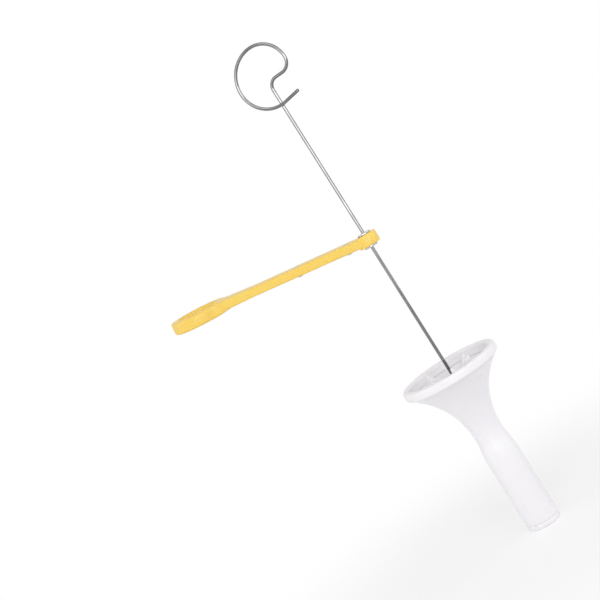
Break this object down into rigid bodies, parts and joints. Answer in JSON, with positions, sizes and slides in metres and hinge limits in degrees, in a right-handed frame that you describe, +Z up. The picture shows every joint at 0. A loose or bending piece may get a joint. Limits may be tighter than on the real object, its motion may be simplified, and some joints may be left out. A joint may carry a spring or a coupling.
{
  "type": "tornado potato cutter",
  "caption": "Hand cranked spiral potato cutter: flared plastic handle with spikes in its cup, looped wire skewer, and a ringed cutter arm that spins and slides on the wire.",
  "frame": {"origin": "centre of the handle's flat end face, on the skewer's axis", "axes": "+Z up along the skewer from the grip to the wire loop; the finger ring of the cutter arm points to -X at rest and the tail of the wire loop to +X; the tail crosses the shaft on the -Y side"},
  "size_m": [0.1476, 0.052, 0.2748],
  "materials": {
    "white_plastic": "gloss",
    "white_insert": "gloss",
    "steel_wire": "polished",
    "bush_steel": "brushed",
    "yellow_plastic": "satin",
    "blade_steel": "ground",
    "rivet_steel": "satin"
  },
  "bodies": {
    "handle": {"handle_horn": "white_plastic", "grip_end_cap": "white_plastic", "spiked_insert": "white_insert"},
    "skewer": {"skewer": "steel_wire"},
    "bush": {"hub_bush": "bush_steel", "hub_retaining_ring": "bush_steel"},
    "cutter": {"cutter_arm": "yellow_plastic", "cutter_blade": "blade_steel", "blade_rivets": "rivet_steel"}
  },
  "joints": [
    {"name": "skewer_draw", "type": "slide", "parent": "handle", "child": "skewer", "axis": [0, 0, 1], "range_m": [0, 0.044]},
    {"name": "bush_slide", "type": "slide", "parent": "skewer", "child": "bush", "axis": [0, 0, 1], "range_m": [-0.069, 0.066]},
    {"name": "cutter_spin", "type": "hinge", "parent": "bush", "child": "cutter", "pos_m": [0, 0, 0.1656], "axis": [0, 0, 1], "continuous": true}
  ]
}
